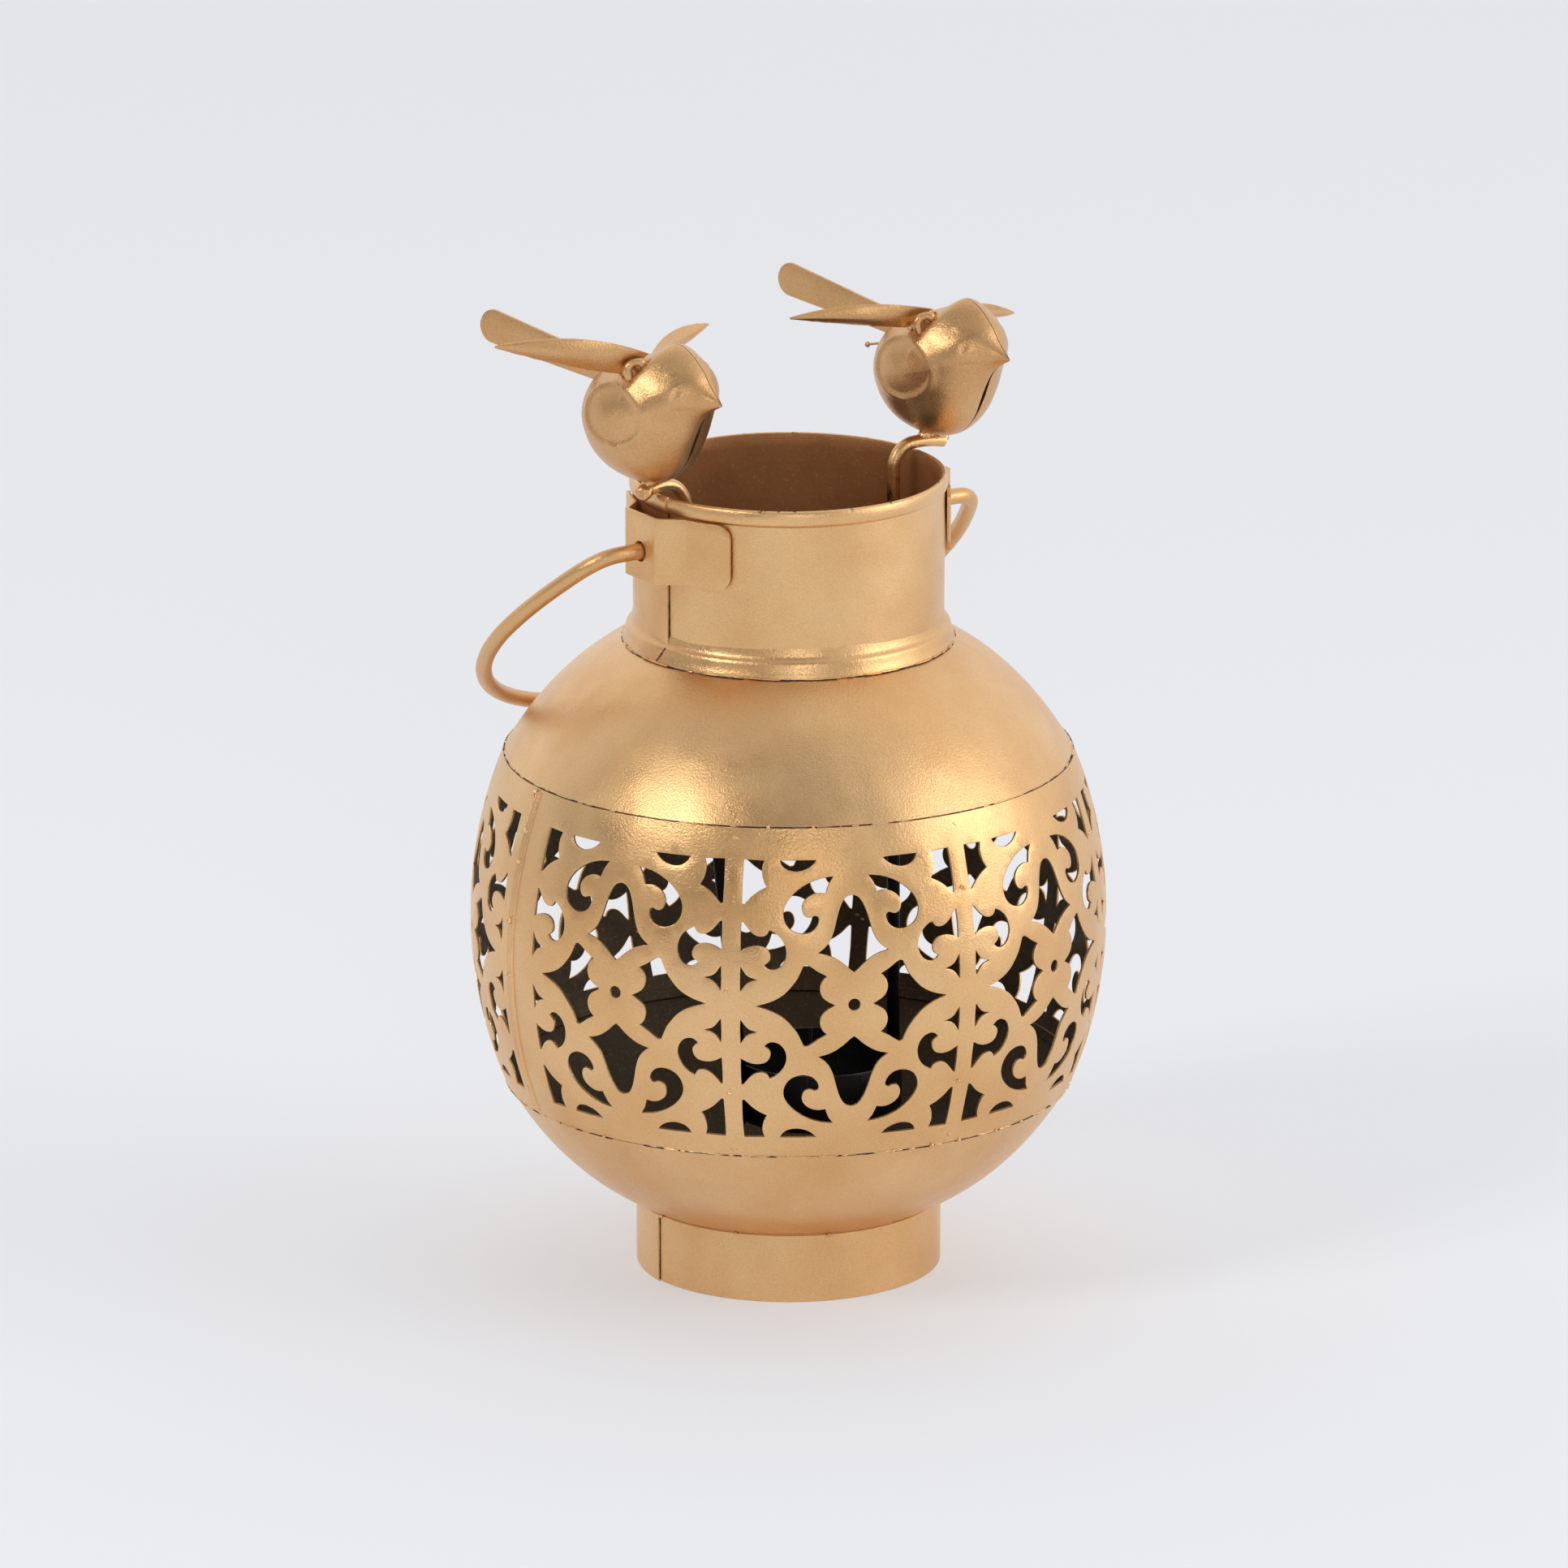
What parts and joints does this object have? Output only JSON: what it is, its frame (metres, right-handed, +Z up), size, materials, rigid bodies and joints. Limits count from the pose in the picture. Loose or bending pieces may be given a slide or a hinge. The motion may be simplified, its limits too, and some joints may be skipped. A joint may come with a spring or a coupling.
{
  "type": "candle lantern",
  "caption": "Round pierced metal candle lantern on a foot ring, with a swinging wire bail and a lift-out tealight holder that bears sheet-metal birds.",
  "frame": {"origin": "centre of the foot ring, on the surface the lantern stands on", "axes": "+Z up along the lantern's axis; the front, seen from -Y, faces the viewer; the handle's pivots and the holder's posts lie on a line 34 degrees from +X towards +Y"},
  "size_m": [0.1967, 0.1966, 0.307],
  "materials": {
    "globe_gold": "metallic gold paint, satin, fine sparkle",
    "neck_gold": "metallic gold paint, satin, darker inside",
    "bracket_gold": "metallic gold paint, satin",
    "handle_gold": "metallic gold paint on wire, satin",
    "post_gold_to_black": "gold paint at the top, black towards the cup, chipped",
    "cup_black": "black paint, satin, lightly scratched",
    "bird_gold": "metallic gold paint, satin, fine sparkle"
  },
  "bodies": {
    "lantern": {"foot_ring": "globe_gold", "lower_bowl": "globe_gold", "pierced_panel_1": "globe_gold", "pierced_panel_2": "globe_gold", "pierced_panel_3": "globe_gold", "pierced_panel_4": "globe_gold", "pierced_panel_5": "globe_gold", "pierced_panel_6": "globe_gold", "pierced_panel_7": "globe_gold", "pierced_panel_8": "globe_gold", "upper_dome": "globe_gold", "neck_skirt": "globe_gold", "neck_collar": "neck_gold", "right_bracket": "bracket_gold", "left_bracket": "bracket_gold"},
    "handle": {"carry_handle": "handle_gold"},
    "tealight_holder": {"right_post": "post_gold_to_black", "left_post": "post_gold_to_black", "candle_cup": "cup_black", "left_bird_body_left": "bird_gold", "left_bird_body_right": "bird_gold", "left_bird_wing_left": "bird_gold", "left_bird_wing_right": "bird_gold", "left_bird_tail": "bird_gold", "right_bird_body_left": "bird_gold", "right_bird_body_right": "bird_gold", "right_bird_wing_left": "bird_gold", "right_bird_wing_right": "bird_gold", "right_bird_tail": "bird_gold"}
  },
  "joints": [
    {"name": "handle_swing", "type": "hinge", "parent": "lantern", "child": "handle", "pos_m": [0, 0, 0.2353], "axis": [0.829, 0.5592, 0], "range_deg": [0, 76]},
    {"name": "holder_lift", "type": "slide", "parent": "lantern", "child": "tealight_holder", "axis": [0, 0, 1], "range_m": [0, 0.215]}
  ]
}
